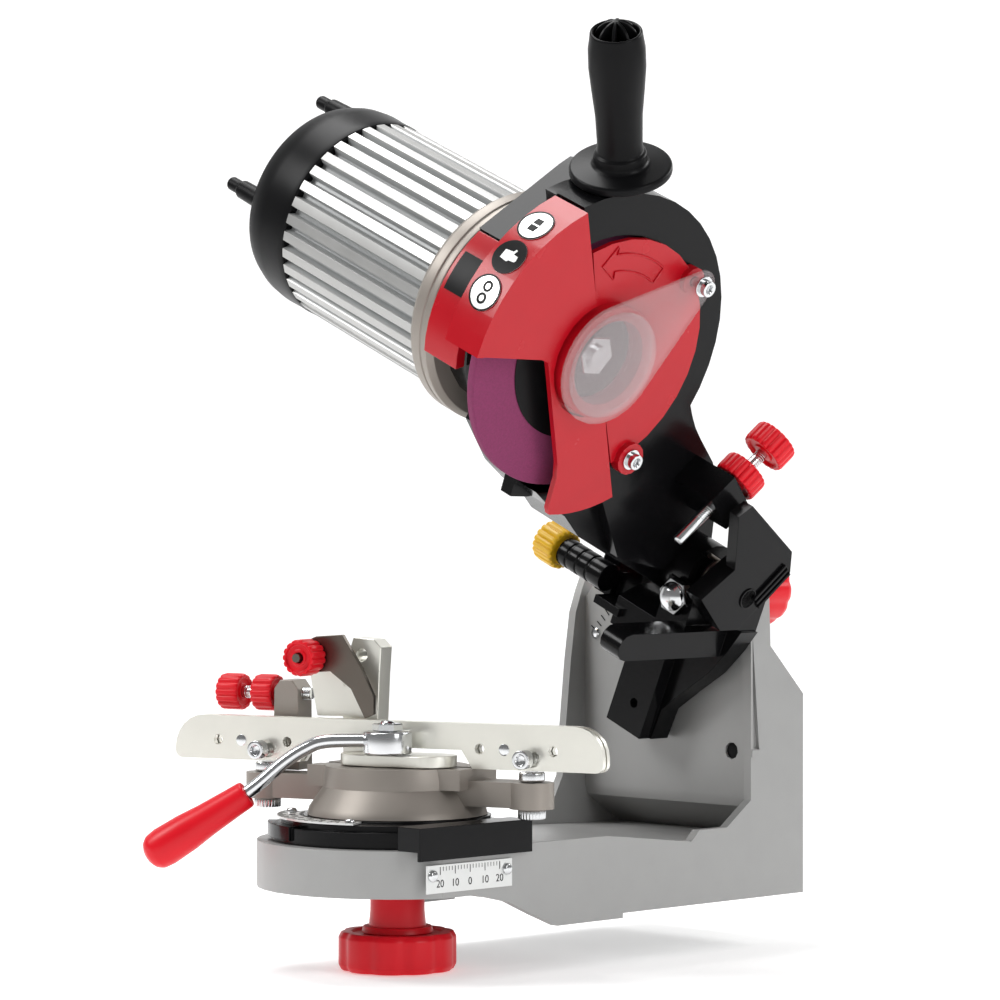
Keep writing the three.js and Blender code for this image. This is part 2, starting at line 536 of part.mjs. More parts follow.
function armCasting() {
  const R = HOUSING.radius;
  const backDisc = plateX([...arc(0, 0, R, -95, 118, 48), ...arc(0, 0, 60, 118, 262, 20)], -18, -10.3);
  const rim = plateX(sector(HOUSING.cavity, R, -62, 117, 36), -12, HOUSING.front);
  const slope = [[-6, 79.1], [-47.1, 43.4], [-36, 34]];
  const lip = plateX(sector(63, R, -62, 117, 36), 5, HOUSING.front);
  const crown = plateX([...arc(0, 0, R - 1, 62, 90, 10), ...slope, ...arc(0, 0, 48, 130, 62, 10)], HOUSING.back, -12);
  const neck = plateX([...arc(0, 0, 57, -60, 185, 32), ...arc(0, 0, 49, 190, 295, 12)], HOUSING.back, -12);
  const spine = [[-30, -52], [-8, -74], [8, -84], [22, -90], [36, -101], [60, -111], [95, -124], [112, -132], [124, -133]];
  const crest = [[138, -122], [139, -108], [130, -76], [118, -60], [98, -41], [84, -24], [60, 40], [0, 60]];
  const arm = plateX([...spine, ...crest], -34, 2);
  const cheekOutline = [[36, -76], [62, -110], [100, -118], [122, -84], [118, -66], [111, -57], [89, -38], [77, -21], [70, -30]];
  const cheek = plateX(cheekOutline, 0, HOUSING.front);
  const barrel = rod(17, -22, 22, 36, "x", [0, hingeY, hingeZ]);
  const across = (distance, side) => {
    const [y, z] = stopAt(distance);
    return [y - side * stopDirection[2], z + side * stopDirection[1]];
  };
  const beam = plateX([across(24, 12), across(24, -12), across(41.5, -12), across(41.5, 12)], -16, 38);
  let body = union(backDisc, rim, crown, neck, arm, cheek, barrel, beam);
  for (const [from, to] of [[-60, -22.3], [22.3, 60]]) {
    body = body.subtract(rod(12, from, to, 28, "x", [0, hingeY, hingeZ]));
  }
  body = body.subtract(rod(HINGE.pin + GAP, -60, 60, 28, "x", [0, hingeY, hingeZ]));
  body = body.subtract(rod(HOUSING.cavity, -9, 11, 60, "x"));
  body = body.add(lip).subtract(rod(WHEEL.bore + 1.6, -60, 0, 28, "x"));
  body = body.subtract(placed(rod(3.4, -40, 120, 18), [STOP_SCREW.u, ...stopAt(0)], stopDirection));
  return body;
}
const stopDirection = [0, Math.cos(STOP_SCREW.rise * DEG), Math.sin(STOP_SCREW.rise * DEG)];
// A point on the depth stop's axis, that far from its tip, in the wheel frame's (y, z).
function stopAt(distance) {
  const y = STOP_SCREW.tipY - WHEEL.y + distance * stopDirection[1];
  const z = STOP_SCREW.tipW - WHEEL.w + distance * stopDirection[2];
  return [y, z];
}
add(wheelFrame, "arm_casting", FINISH.black, armCasting());

const stopRod = placed(rod(3, 0, STOP_SCREW.length, 18), [STOP_SCREW.u, ...stopAt(0)], stopDirection);
const stopHead = placed(knobSolid(12.4, 12, 2.6), [STOP_SCREW.u, ...stopAt(65)], stopDirection);
add(wheelFrame, "depth_stop_screw", FINISH.red, stopRod.add(stopHead));
const stopNut = placed(knobSolid(12.4, 11, 3.4), [STOP_SCREW.u, ...stopAt(43)], stopDirection);
add(wheelFrame, "depth_stop_lock_knob", FINISH.red, stopNut);

// ---- guards and wheel ----
function frontGuard() {
  const band = plateX(sector(80.5, HOUSING.radius, 118.5, 181, 16), -10, 14);
  const leg = [[-36, -3], [-8, -56], [-5.5, -64], [-4.9, -80.2], ...arc(0, 0, 83.5, -92, -62.5, 8), [18, -36]];
  const ring = arc(0, 0, 31, -62.5, -241.5, 20);
  const face = plateX([...arc(0, 0, HOUSING.radius, 118.5, 180.7, 16), [-41, -1.5], ...leg, ...ring], 11, 14);
  return union(band, face);
}
add(wheelFrame, "front_guard", FINISH.red, frontGuard());

// The cover's two screws, as (y, z) points about the wheel's axis.
const UPPER_SCREW = [47, 43];
const LOWER_SCREW = [42, -53];

function sideCover() {
  const disc = plateX(circle(0, 0, 30.5, 44), 9.3, 12);
  const half = plateX([...arc(5.5, 0, 62.3, -64.9, 120.6, 28), ...arc(0, 0, 29, 116, -60.5, 12)], 9.3, 12);
  const boss = rod(8.5, 9.3, 15, 24, "x", [0, ...LOWER_SCREW]);
  const upperBoss = rod(7, 9.3, 15, 24, "x", [0, ...UPPER_SCREW]);
  const hub = sleeve(24, 29, 9.3, 19.2, 36, "x");
  const cover = union(disc, half, boss, upperBoss, hub);
  const holes = [UPPER_SCREW, LOWER_SCREW].map((at) => rod(2.9, 0, 30, 14, "x", [0, ...at]));
  return cover.subtract(union(rod(22, 0, 30, 36, "x"), ...holes));
}
add(wheelFrame, "side_cover", FINISH.red, sideCover());

function lensCover() {
  const tangent = 62;
  const aim = Math.atan2(UPPER_SCREW[1], UPPER_SCREW[0]) / DEG;
  const tail = arc(UPPER_SCREW[0], UPPER_SCREW[1], 8, aim - tangent, aim + tangent, 8);
  const base = plateX([...arc(0, 0, 31.5, aim + tangent + 8, aim + 352 - tangent, 36), ...tail], 19.5, 21.7);
  const dome = turned([[0, 21.5], [27.4, 21.5], [27.4, 23.6], [25.5, 24.6], [16, 26.6], [0, 27.4]], 44, "x");
  const inside = turned([[0, 10], [24, 10], [24, 22], [15, 24.4], [0, 25.2]], 40, "x");
  const hole = rod(2.9, 0, 30, 14, "x", [0, ...UPPER_SCREW]);
  return base.add(dome).subtract(inside).subtract(hole);
}
add(wheelFrame, "lens_cover", FINISH.clear, lensCover());

for (const [name, at, from] of [["upper", UPPER_SCREW, 22], ["lower", LOWER_SCREW, 15.3]]) {
  const socket = sleeve(2.6, 4.6, from, from + 5, 24, "x", [0, ...at]);
  const shank = rod(2.6, 9.3, from + 2, 14, "x", [0, ...at]);
  add(wheelFrame, `cover_screw_${name}`, FINISH.steel, socket.add(shank));
}

const rearGuard = plateX(sector(60.5, 66, 139, 198, 16), -43, -18.4);
add(wheelFrame, "rear_guard", FINISH.red, rearGuard);

const half = WHEEL.thick / 2;
add(wheelFrame, "grinding_wheel", FINISH.grit, sleeve(WHEEL.bore + GAP, WHEEL.radius, -half, half, 72, "x"));
add(wheelFrame, "wheel_flange", FINISH.black, sleeve(6.2, 46.5, half + GAP, half + 1.5, 44, "x"));
add(wheelFrame, "wheel_nut", FINISH.steel, rod(11, half + 1.8, half + 8, 6, "x").subtract(rod(6.3, 0, 20, 32, "x")));
const spindleProfile = [[0, -190], [7, -190], [7, -60], [9, -60], [9, -8.7], [16, -7], [16, -2.9], [9.9, -2.9], [9.9, 2.4], [6, 2.4], [6, 13], [0, 13]];
add(wheelFrame, "spindle", FINISH.steel, turned(spindleProfile, 32, "x"));

// ---- motor ----
function finnedOutline() {
  const points = [];
  const pitch = 360 / MOTOR.fins;
  const root = MOTOR.radius - MOTOR.finDepth;
  for (let i = 0; i < MOTOR.fins; i += 1) {
    const at = i * pitch;
    for (const [reach, turn] of [[MOTOR.radius, -0.26], [MOTOR.radius, 0.26], [root, 0.36], [root, 0.64]]) {
      const angle = (at + turn * pitch) * DEG;
      points.push([reach * Math.cos(angle), reach * Math.sin(angle)]);
    }
  }
  return points;
}
const shellHole = circle(0, 0, 46, 40).reverse();
add(wheelFrame, "motor_shell", FINISH.alu, plateX(finnedOutline(), MOTOR.back, MOTOR.front - GAP, [shellHole]));
const flangeProfile = [[9.6, -46.3], [57, -46.3], [60, -49], [60, -60], [58, -63], [9.6, -63], [9.6, -46.3]];
add(wheelFrame, "motor_flange", FINISH.base, turned(flangeProfile, 56, "x"));
add(wheelFrame, "stator", FINISH.steel, sleeve(31, 45.6, -150, -80, 40, "x"));
add(wheelFrame, "rotor", FINISH.steel, sleeve(7.3, 30, -146, -84, 36, "x"));

function motorCap() {
  const outside = [[0, -214], [30, -213], [45, -210], [52, -204], [55, -195], [54.6, -172.3]];
  const inside = [[47, -172.3], [48, -191], [42, -200], [28, -205], [0, -206]];
  const shell = [...outside, ...inside];
  const posts = [2, 92, 182, 272].map((angle) => {
    const [y, z] = [46.5 * Math.cos(angle * DEG), 46.5 * Math.sin(angle * DEG)];
    return rod(4.4, -229, -190, 16, "x", [0, y, z]);
  });
  return union(turned(shell, 52, "x"), ...posts);
}
add(wheelFrame, "motor_cap", FINISH.plastic, motorCap());

// ---- handle ----
const lean = HANDLE.lean * DEG;
const handleDirection = [0, -Math.sin(lean), Math.cos(lean)];
function handle() {
  const profile = [
    [0, 6.2],
    [HANDLE.disc, 6.2],
    [HANDLE.disc, 10.5],
    [13, 12.5],
    [12.4, 17],
    [11, 18],
    [11.4, 38],
    [13.9, 61],
    [13.8, 77],
    [12.8, 82],
    [11.2, 83],
    [11, 77],
    [0, 73],
  ];
  const cross = [0, 90].map((angle) => {
    const rib = arc(0, 76.5, 11.6, 0, 180, 10);
    return plateY([...rib, [-11.5, 72], [11.5, 72]], -0.8, 0.8).rotate([0, 0, angle + 40]);
  });
  return placed(union(turned(profile, 32), ...cross), [HANDLE.u, HANDLE.y, HANDLE.z], handleDirection);
}
add(wheelFrame, "handle_grip", FINISH.plastic, handle());
const handleFoot = placed(rod(9, -14, 5.9, 24), [HANDLE.u, HANDLE.y, HANDLE.z], handleDirection);
add(wheelFrame, "handle_stud", FINISH.black, handleFoot.subtract(rod(HOUSING.radius + GAP, -60, 30, 72, "x")));

export default machine;
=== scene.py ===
"""Looks of a bench chain grinder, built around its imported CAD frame.

The castings are the CAD nodes with rounded edges. Knobs, springs, the motor, the wheel, the lens and
the screws are finer pieces that stand for their CAD nodes. Shapes are in millimetres in the frames below.
"""

import json
import math

import bmesh
import bpy
from mathutils import Matrix, Vector


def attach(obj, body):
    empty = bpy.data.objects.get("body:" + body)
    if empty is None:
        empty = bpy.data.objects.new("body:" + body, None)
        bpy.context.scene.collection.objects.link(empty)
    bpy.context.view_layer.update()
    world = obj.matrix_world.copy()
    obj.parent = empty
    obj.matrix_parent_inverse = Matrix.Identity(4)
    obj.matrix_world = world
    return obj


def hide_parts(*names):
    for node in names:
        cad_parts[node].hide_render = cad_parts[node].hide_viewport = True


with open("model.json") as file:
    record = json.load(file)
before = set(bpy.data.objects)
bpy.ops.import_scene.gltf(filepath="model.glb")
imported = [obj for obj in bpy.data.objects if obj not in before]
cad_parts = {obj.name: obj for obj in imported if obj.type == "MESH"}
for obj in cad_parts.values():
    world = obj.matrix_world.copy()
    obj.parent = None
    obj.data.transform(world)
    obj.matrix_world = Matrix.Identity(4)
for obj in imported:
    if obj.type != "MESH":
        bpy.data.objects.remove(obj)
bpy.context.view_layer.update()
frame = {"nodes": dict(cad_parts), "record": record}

# ---- driving dimensions ----
MM = 0.001
TILT = Matrix.Translation((0, 0, 0.1)) @ Matrix.Rotation(math.radians(23.6), 4, "Y")
WHEEL = TILT @ Matrix.Translation((0, -0.1149, 0.1996))
VISE = Matrix.Translation((0, -0.165, 0)) @ Matrix.Rotation(math.radians(18), 4, "Z")
NOSE = Matrix.Translation((0, -0.165, 0))
LEVER = VISE @ Matrix.Translation((0.0034, -0.0163, 0)) @ Matrix.Rotation(math.radians(203.3), 4, "Z")
BASE = Matrix.Identity(4)
# Turn a shape made along +Z so that it lies along X, with its outline in (y, z), or along Y, in (x, z).
ALONG_X = Matrix(((0, 0, 1, 0), (1, 0, 0, 0), (0, 1, 0, 0), (0, 0, 0, 1)))
ALONG_Y = Matrix(((1, 0, 0, 0), (0, 0, 1, 0), (0, 1, 0, 0), (0, 0, 0, 1)))

WHEEL_RADIUS = 72.5
WHEEL_HALF = 2.5
MOTOR_FRONT = -63.3
MOTOR_BACK = -172
MOTOR_RADIUS = 54.5
MOTOR_FINS = 36
MOTOR_FIN_DEPTH = 4.5
MOTOR_BORE = 46
CAP_POST_CIRCLE = 46.5
BAND_RADIUS = 84.5
HINGE = (0, 7, 84)
HINGE_END = 49.7
ADJUSTER = (0, -4, 57)
TILT_STUD = (0, 37, 65)
BRACKET_BOLT = (20.4, -10.4, 72)
UPPER_SCREW = (47, 43)
LOWER_SCREW = (42, -53)
STOP_RISE = math.radians(48.3)
STOP_TIP = (30, -37 + 114.9, 107.8 - 199.6)
HANDLE_FOOT = (-4, -4.5, 84.7)
HANDLE_LEAN = math.radians(25)
LUG_REACH = 75
RAIL_FACE = -3.8
STOP_AXIS = (0, 14, 109.5)
PAWL_PIVOT = (-48.6, -2.1, 129)
SCALE_FACE = 64.8
SADDLE_TOP = 52.2
FLOOR = -0.0256

body_of = {}
for body_name, members in frame["record"]["behaviour"]["bodies"].items():
    for member in members:
        body_of[member] = body_name


# ---- materials ----
def surface(name, colour, roughness, metallic=0.0, grain=0.0, grain_size=0.4, mottle=0.06, shine=0.5):
    """A principled finish with a faint colour mottle, uneven roughness and a fine bump in millimetres."""
    made = bpy.data.materials.new(name)
    made.use_nodes = True
    nodes = made.node_tree.nodes
    link = made.node_tree.links.new
    shader = nodes["Principled BSDF"]
    shader.inputs["Metallic"].default_value = metallic
    shader.inputs["Specular IOR Level"].default_value = shine
    place = nodes.new("ShaderNodeTexCoord")
    cloud = nodes.new("ShaderNodeTexNoise")
    cloud.inputs["Scale"].default_value = 60
    cloud.inputs["Detail"].default_value = 4
    link(place.outputs["Object"], cloud.inputs["Vector"])
    tint = nodes.new("ShaderNodeMix")
    tint.data_type = "RGBA"
    tint.inputs["A"].default_value = [*(c * (1 - mottle) for c in colour), 1]
    tint.inputs["B"].default_value = [*(min(1, c * (1 + mottle)) for c in colour), 1]
    link(cloud.outputs["Fac"], tint.inputs["Factor"])
    link(tint.outputs["Result"], shader.inputs["Base Color"])
    spread = nodes.new("ShaderNodeMapRange")
    spread.inputs["To Min"].default_value = max(0.02, roughness * 0.85)
    spread.inputs["To Max"].default_value = min(1, roughness * 1.15)
    link(cloud.outputs["Fac"], spread.inputs["Value"])
    link(spread.outputs["Result"], shader.inputs["Roughness"])
    speck = nodes.new("ShaderNodeTexNoise")
    speck.inputs["Scale"].default_value = 1 / (grain_size * MM)
    speck.inputs["Detail"].default_value = 3
    link(place.outputs["Object"], speck.inputs["Vector"])
    bump = nodes.new("ShaderNodeBump")
    bump.inputs["Strength"].default_value = 0.6
    bump.inputs["Distance"].default_value = grain * MM
    link(speck.outputs["Fac"], bump.inputs["Height"])
    link(bump.outputs["Normal"], shader.inputs["Normal"])
    return made


def clear_plastic():
    """Frosted and see-through: what is behind it shows."""
    made = surface("clear_plastic", (0.62, 0.56, 0.57), 0.3, grain=0.01, mottle=0.02)
    made.node_tree.nodes["Principled BSDF"].inputs["Alpha"].default_value = 0.17
    return made


def abrasive():
    """Matt grit, with a mottle as fine as its grains."""
    made = surface("abrasive", (0.21, 0.03, 0.1), 0.95, grain=0.35, grain_size=0.9, mottle=0.28)
    made.node_tree.nodes["Noise Texture"].inputs["Scale"].default_value = 900
    return made


BLACK = (0.004, 0.004, 0.0045)
SOFT_BLACK = (0.005, 0.005, 0.0055)
FINISH = {
    "base_paint": surface("base_paint", (0.36, 0.36, 0.355), 0.42, metallic=0.35, grain=0.02, grain_size=0.5),
    "black_paint": surface("black_paint", BLACK, 0.2, grain=0.04, grain_size=2.6, shine=0.14),
    "red_paint": surface("red_paint", (0.46, 0.004, 0.012), 0.26, grain=0.015, grain_size=2.5, shine=0.3),
    "red_plastic": surface("red_plastic", (0.7, 0.004, 0.014), 0.36, grain=0.012, grain_size=0.5, shine=0.3),
    "yellow_plastic": surface("yellow_plastic", (0.78, 0.46, 0.01), 0.36, grain=0.012, grain_size=0.5),
    "black_plastic": surface("black_plastic", SOFT_BLACK, 0.34, grain=0.015, grain_size=0.6, shine=0.1),
    "bright_steel": surface("bright_steel", (0.66, 0.67, 0.68), 0.16, metallic=1, grain=0.004),
    "spring_steel": surface("spring_steel", (0.16, 0.14, 0.12), 0.32, metallic=1, grain=0.006),
    "zinc_plate": surface("zinc_plate", (0.84, 0.83, 0.76), 0.3, metallic=0.75, grain=0.006),
    "raw_casting": surface("raw_casting", (0.31, 0.28, 0.25), 0.46, metallic=0.5, grain=0.03, grain_size=0.6),
    "motor_aluminium": surface("motor_aluminium", (0.46, 0.46, 0.45), 0.4, metallic=0.7, grain=0.006),
    "motor_iron": surface("motor_iron", (0.12, 0.115, 0.11), 0.5, metallic=0.6, grain=0.02),
    "scale_plate": surface("scale_plate", (0.72, 0.73, 0.72), 0.3, metallic=0.5, grain=0.004),
    "abrasive": abrasive(),
    "clear_plastic": clear_plastic(),
}
GROOVE = surface("motor_groove", (0.42, 0.43, 0.43), 0.5, metallic=0.3, grain=0.01)


# ---- shape helpers ----
def finish_piece(mesh, name, slot, stands_for, rides, smooth):
    """Makes an object of a mesh in the row frame, shades it, gives it its body and the finish of its slot,
    and hides the CAD nodes it stands for.
    """
    shape = bmesh.new()
    shape.from_mesh(mesh)
    bmesh.ops.remove_doubles(shape, verts=shape.verts, dist=0.5e-6)
    bmesh.ops.recalc_face_normals(shape, faces=shape.faces)
    shape.to_mesh(mesh)
    shape.free()
    for face in mesh.polygons:
        face.use_smooth = True
    mesh.set_sharp_from_angle(angle=math.radians(smooth))
    mesh.materials.clear()
    mesh.materials.append(FINISH[slot])
    made = bpy.data.objects.new(name, mesh)
    bpy.context.scene.collection.objects.link(made)
    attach(made, rides or body_of[stands_for[0]])
    if stands_for:
        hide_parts(*stands_for)
    return made


def piece(name, shape, place, slot, stands_for=(), rides=None, smooth=38):
    """A piece from (points, faces) in millimetres, put in place by a frame matrix."""
    points, faces = shape
    mesh = bpy.data.meshes.new(name)
    mesh.from_pydata([place @ (Vector(p) * MM) for p in points], [], faces)
    return finish_piece(mesh, name, slot, stands_for, rides, smooth)


def joined(*shapes):
    points, faces = [], []
    for more_points, more_faces in shapes:
        start = len(points)
        points += more_points
        faces += [tuple(start + i for i in face) for face in more_faces]
    return points, faces


def moved(shape, matrix):
    points, faces = shape
    return [tuple(matrix @ Vector(p)) for p in points], faces


def shifted(shape, x, y, z):
    return moved(shape, Matrix.Translation((x, y, z)))


def lying_x(shape, x=0, y=0, z=0):
    return shifted(moved(shape, ALONG_X), x, y, z)


def lying_y(shape, x=0, y=0, z=0):
    return shifted(moved(shape, ALONG_Y), x, y, z)


def aimed(shape, origin, direction):
    """The shape made along +Z, with its foot at origin and its length along direction."""
    turn = Vector((0, 0, 1)).rotation_difference(Vector(direction)).to_matrix().to_4x4()
    return moved(shape, Matrix.Translation(origin) @ turn)


def softened(corners, radius, steps=3, closed=False):
    """The polyline with each corner replaced by a small curve."""
    count = len(corners)
    result = []
    for i, corner in enumerate(corners):
        if not closed and i in (0, count - 1):
            result.append(tuple(corner))
            continue
        here = Vector(corner)
        before = Vector(corners[i - 1]) - here
        after = Vector(corners[(i + 1) % count]) - here
        if before.length < 1e-6 or after.length < 1e-6 or before.angle(after) > math.radians(165):
            result.append(tuple(corner))
            continue
        start = here + before.normalized() * min(radius, before.length * 0.45)
        end = here + after.normalized() * min(radius, after.length * 0.45)
        for k in range(steps + 1):
            t = k / steps
            result.append(tuple(start * (1 - t) ** 2 + here * 2 * t * (1 - t) + end * t * t))
    return result


def revolved(profile, steps=64, soften=0.4, ripple=None):
    """A solid of revolution of (radius, height) pairs; ripple(angle, radius) scales the radius."""
    outline = softened(profile, soften) if soften else profile
    points, faces, rings = [], [], []
    for radius, height in outline:
        start = len(points)
        if radius < 1e-6:
            points.append((0, 0, height))
            rings.append([start] * steps)
            continue
        for i in range(steps):
            angle = 2 * math.pi * i / steps
            reach = radius * (ripple(angle, radius) if ripple else 1)
            points.append((reach * math.cos(angle), reach * math.sin(angle), height))
        rings.append(list(range(start, start + steps)))
    for low, high in zip(rings, rings[1:]):
        for i in range(steps):
            j = (i + 1) % steps
            corners = list(dict.fromkeys((low[i], low[j], high[j], high[i])))
            if len(corners) > 2:
                faces.append(tuple(corners))
    return points, faces


def rod(radius, low, high, steps=32):
    return revolved([(0, low), (radius, low), (radius, high), (0, high)], steps)


def ring(inner, outer, low, high, steps, soften):
    profile = [(inner, low), (outer, low), (outer, high), (inner, high), (inner, low)]
    return revolved(profile, steps, soften=soften)


def button(radius, shoulder, height, steps, soften=0.2):
    """A low rounded screw or rivet head; shoulder is a list of (radius, height) pairs on its side."""
    return revolved([(0, 0), (radius, 0), *shoulder, (0, height)], steps, soften=soften)


def arc(cx, cy, radius, start, end, steps):
    angles = [math.radians(start + (end - start) * i / steps) for i in range(steps + 1)]
    return [(cx + radius * math.cos(a), cy + radius * math.sin(a)) for a in angles]


def prism(outline, low, high, edge=0.4, soften=0.0):
    """A closed prism of an outline with a chamfered top and bottom edge."""
    corners = softened(outline, soften, closed=True) if soften else outline
    count = len(corners)
    area = sum(
        corners[i][0] * corners[(i + 1) % count][1] - corners[(i + 1) % count][0] * corners[i][1]
        for i in range(count)
    )
    if area < 0:
        corners = corners[::-1]
    inset = []
    for i, corner in enumerate(corners):
        into = (Vector(corner) - Vector(corners[i - 1])).normalized()
        out = (Vector(corners[(i + 1) % count]) - Vector(corner)).normalized()
        normal = Vector((-(into.y + out.y), into.x + out.x))
        normal = normal.normalized() if normal.length > 1e-6 else Vector((0, 0))
        inset.append((corner[0] + normal.x * edge, corner[1] + normal.y * edge))
    levels = [(inset, low), (corners, low + edge), (corners, high - edge), (inset, high)]
    points = [(x, y, z) for ring, z in levels for x, y in ring]
    faces = [tuple(reversed(range(count))), tuple(range(3 * count, 4 * count))]
    for level in range(3):
        below = level * count
        above = below + count
        for i in range(count):
            j = (i + 1) % count
            faces.append((below + i, below + j, above + j, above + i))
    return points, faces


def tube(path, radius, sides=16):
    """A round tube along a path of points, with flat ends."""
    route = [Vector(p) for p in path]
    points, faces = [], []
    normal = None
    for i, spot in enumerate(route):
        ahead = route[min(i + 1, len(route) - 1)] - route[max(i - 1, 0)]
        ahead.normalize()
        if normal is None:
            normal = ahead.orthogonal().normalized()
        normal = (normal - ahead * normal.dot(ahead)).normalized()
        side = ahead.cross(normal)
        for k in range(sides):
            angle = 2 * math.pi * k / sides
            points.append(tuple(spot + radius * (math.cos(angle) * normal + math.sin(angle) * side)))
    for i in range(len(route) - 1):
        for k in range(sides):
            j = (k + 1) % sides
            faces.append((i * sides + k, i * sides + j, (i + 1) * sides + j, (i + 1) * sides + k))
    last = (len(route) - 1) * sides
    faces.append(tuple(reversed(range(sides))))
    faces.append(tuple(range(last, last + sides)))
    return points, faces


def smooth_path(corners, steps=8):
    """A Catmull-Rom curve through the corners."""
    knots = [Vector(corners[0]), *map(Vector, corners), Vector(corners[-1])]
    result = []
    for a, b, c, d in zip(knots, knots[1:], knots[2:], knots[3:]):
        for k in range(steps):
            t = k / steps
            straight = 2 * b + (c - a) * t
            bend = (2 * a - 5 * b + 4 * c - d) * t * t
            twist = (3 * b - a - 3 * c + d) * t**3
            result.append(0.5 * (straight + bend + twist))
    return [tuple(p) for p in [*result, knots[-1]]]


def flutes(count, depth, rim):
    """A ripple that cuts narrow rounded grooves into everything near the rim radius."""

    def scale(angle, radius):
        near = min(1, max(0, (radius / rim - 0.72) / 0.2))
        wave = 0.5 + 0.5 * math.cos(count * angle)
        return 1 - depth * near * wave**3

    return scale


def knob(radius, height, count=12, hole=2.6, depth=0.1, hub=0.45):
    """A fluted hand knob along +Z: a recessed face with a raised hub at both ends."""
    profile = [
        (hole, 0.4),
        (radius * hub, 0.4),
        (radius * hub, 1.2),
        (radius * 0.74, 1.2),
        (radius * 0.78, 0),
        (radius * 0.95, 0),
        (radius, height * 0.14),
        (radius, height * 0.86),
        (radius * 0.95, height),
        (radius * 0.78, height),
        (radius * 0.74, height - 1.2),
        (radius * hub, height - 1.2),
        (radius * hub, height - 0.4),
        (hole, height - 0.4),
        (hole, 0.4),
    ]
    return revolved(profile, steps=count * 12, soften=0.6, ripple=flutes(count, depth, radius))


def hexagon(across, low, high):
    """A hex head that measures `across` between its flats, with chamfered edges."""
    corners = arc(0, 0, across / math.sqrt(3), 0, 300, 5)
    return prism(corners, low, high, edge=0.5)


def socket_head(radius, height, length):
    """A cap screw head along +Z with a hexagon socket in its top."""
    reach = radius * 0.55

    def six(angle, at):
        if at > reach * 1.01:
            return 1
        turn = (angle + math.pi / 6) % (math.pi / 3) - math.pi / 6
        return math.cos(math.pi / 6) / math.cos(turn)

    profile = [
        (0, -length),
        (radius * 0.6, -length),
        (radius * 0.6, 0),
        (radius, 0),
        (radius, height),
        (reach * 1.12, height),
        (reach, height - 0.4),
        (reach, height - 2.4),
        (0, height - 2.6),
    ]
    return revolved(profile, steps=48, soften=0.35, ripple=six)


def coil(radius, wire, start, end, turns):
    steps = int(turns * 28)
    path = []
    for i in range(steps + 1):
        angle = 2 * math.pi * turns * i / steps
        path.append((radius * math.cos(angle), radius * math.sin(angle), start + (end - start) * i / steps))
    return tube(path, wire, sides=10)


def lettering(name, words, size, place, slot, rides, thick=0.15):
    """Plain digits lying in the XY plane of a frame matrix."""
    curve = bpy.data.curves.new(name, "FONT")
    curve.body = words
    curve.size = size
    curve.extrude = thick
    curve.align_x = "CENTER"
    curve.align_y = "CENTER"
    holder = bpy.data.objects.new(name + ".curve", curve)
    bpy.context.scene.collection.objects.link(holder)
    graph = bpy.context.evaluated_depsgraph_get()
    mesh = bpy.data.meshes.new_from_object(holder.evaluated_get(graph))
    bpy.data.objects.remove(holder)
    mesh.transform(place @ Matrix.Scale(MM, 4))
    return finish_piece(mesh, name, slot, (), rides, 30)


# ---- castings: CAD nodes with rounded edges ----
NODE_SLOT = {
    "base_casting": "base_paint",
    "slide_scale_plate": "scale_plate",
    "saddle": "black_paint",
    "angle_scale_plate": "scale_plate",
    "vise_stud": "bright_steel",
    "turntable": "raw_casting",
    "front_rail": "zinc_plate",
    "rear_rail": "zinc_plate",
    "cam_washer": "zinc_plate",
    "stop_block": "raw_casting",
    "stop_carrier": "zinc_plate",
    "stop_pawl": "spring_steel",
    "pawl_stud": "spring_steel",
    "tilt_bracket": "black_paint",
    "tilt_pivot_bolt": "bright_steel",
    "tilt_lock_stud": "bright_steel",
    "hinge_pin": "bright_steel",
    "arm_casting": "black_paint",
    "front_guard": "red_paint",
    "side_cover": "red_paint",
    "rear_guard": "red_paint",
    "stator": "motor_iron",
    "rotor": "motor_iron",
    "spindle": "bright_steel",
    "handle_stud": "black_paint",
}
EDGE = {
    "base_casting": 1.4,
    "saddle": 1.1,
    "turntable": 1.0,
    "tilt_bracket": 1.1,
    "arm_casting": 1.3,
    "front_guard": 0.8,
    "side_cover": 0.7,
    "rear_guard": 0.5,
    "stop_carrier": 0.7,
    "stop_block": 0.8,
    "cam_washer": 0.5,
    "front_rail": 0.4,
    "rear_rail": 0.4,
    "stop_pawl": 0.25,
}


def round_edges(node, width):
    """Cleans the CAD surface and rounds its sharp edges, without touching the mesh itself."""
    node.modifiers.new("weld", "WELD").merge_threshold = 1e-6
    flat = node.modifiers.new("flatten", "DECIMATE")
    flat.decimate_type = "DISSOLVE"
    flat.angle_limit = math.radians(1)
    bevel = node.modifiers.new("round", "BEVEL")
    bevel.width = width * MM
    bevel.segments = 3
    bevel.limit_method = "ANGLE"
    bevel.angle_limit = math.radians(32)
    bevel.harden_normals = False
    weighted = node.modifiers.new("shade", "WEIGHTED_NORMAL")
    weighted.keep_sharp = False


def dress_nodes():
    for name, node in frame["nodes"].items():
        slot = NODE_SLOT.get(name, "bright_steel")
        for index in range(len(node.material_slots)):
            node.material_slots[index].link = "DATA"
            node.material_slots[index].material = FINISH[slot]
        for face in node.data.polygons:
            face.use_smooth = True
        node.data.set_sharp_from_angle(angle=math.radians(34))
        if name in EDGE:
            round_edges(node, EDGE[name])


